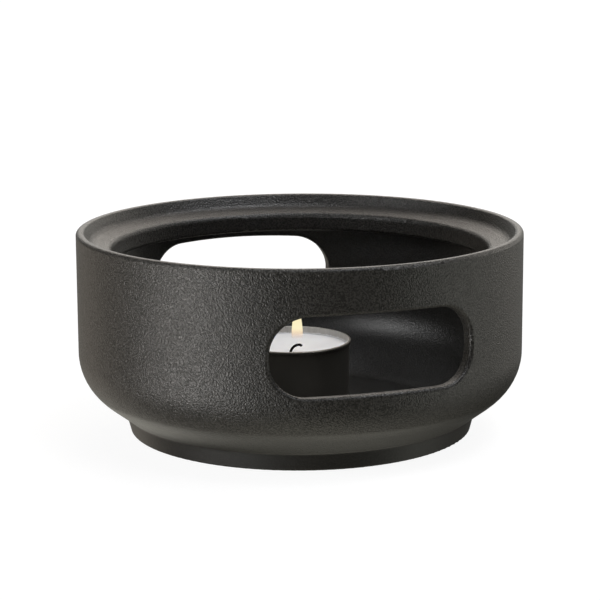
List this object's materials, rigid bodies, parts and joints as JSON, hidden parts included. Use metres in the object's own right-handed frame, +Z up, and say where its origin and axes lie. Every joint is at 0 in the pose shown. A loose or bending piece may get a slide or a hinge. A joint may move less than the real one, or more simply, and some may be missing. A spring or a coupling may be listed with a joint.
{
  "type": "teapot warmer",
  "caption": "Round dark stoneware teapot warmer with a stepped foot, a window in each side and a recessed ledge for the pot, holding a lit tealight.",
  "frame": {"origin": "on the table under the middle of the bowl", "axes": "+Z up; the two windows face -Y and +Y; the picture's camera stands in front of -Y, about 20 degrees towards -X"},
  "size_m": [0.145, 0.145, 0.066],
  "materials": {
    "stoneware": "matt charcoal stoneware with a fine raised grain",
    "cup_metal": "thin aluminium sheet, black outside",
    "wax": "white candle wax, slightly translucent",
    "wick": "charred cotton",
    "clip_metal": "thin tinned sheet"
  },
  "bodies": {
    "root": {"warmer_body": "stoneware", "tealight_cup": "cup_metal", "tealight_wax": "wax", "tealight_wick": "wick", "wick_clip": "clip_metal"}
  },
  "joints": []
}
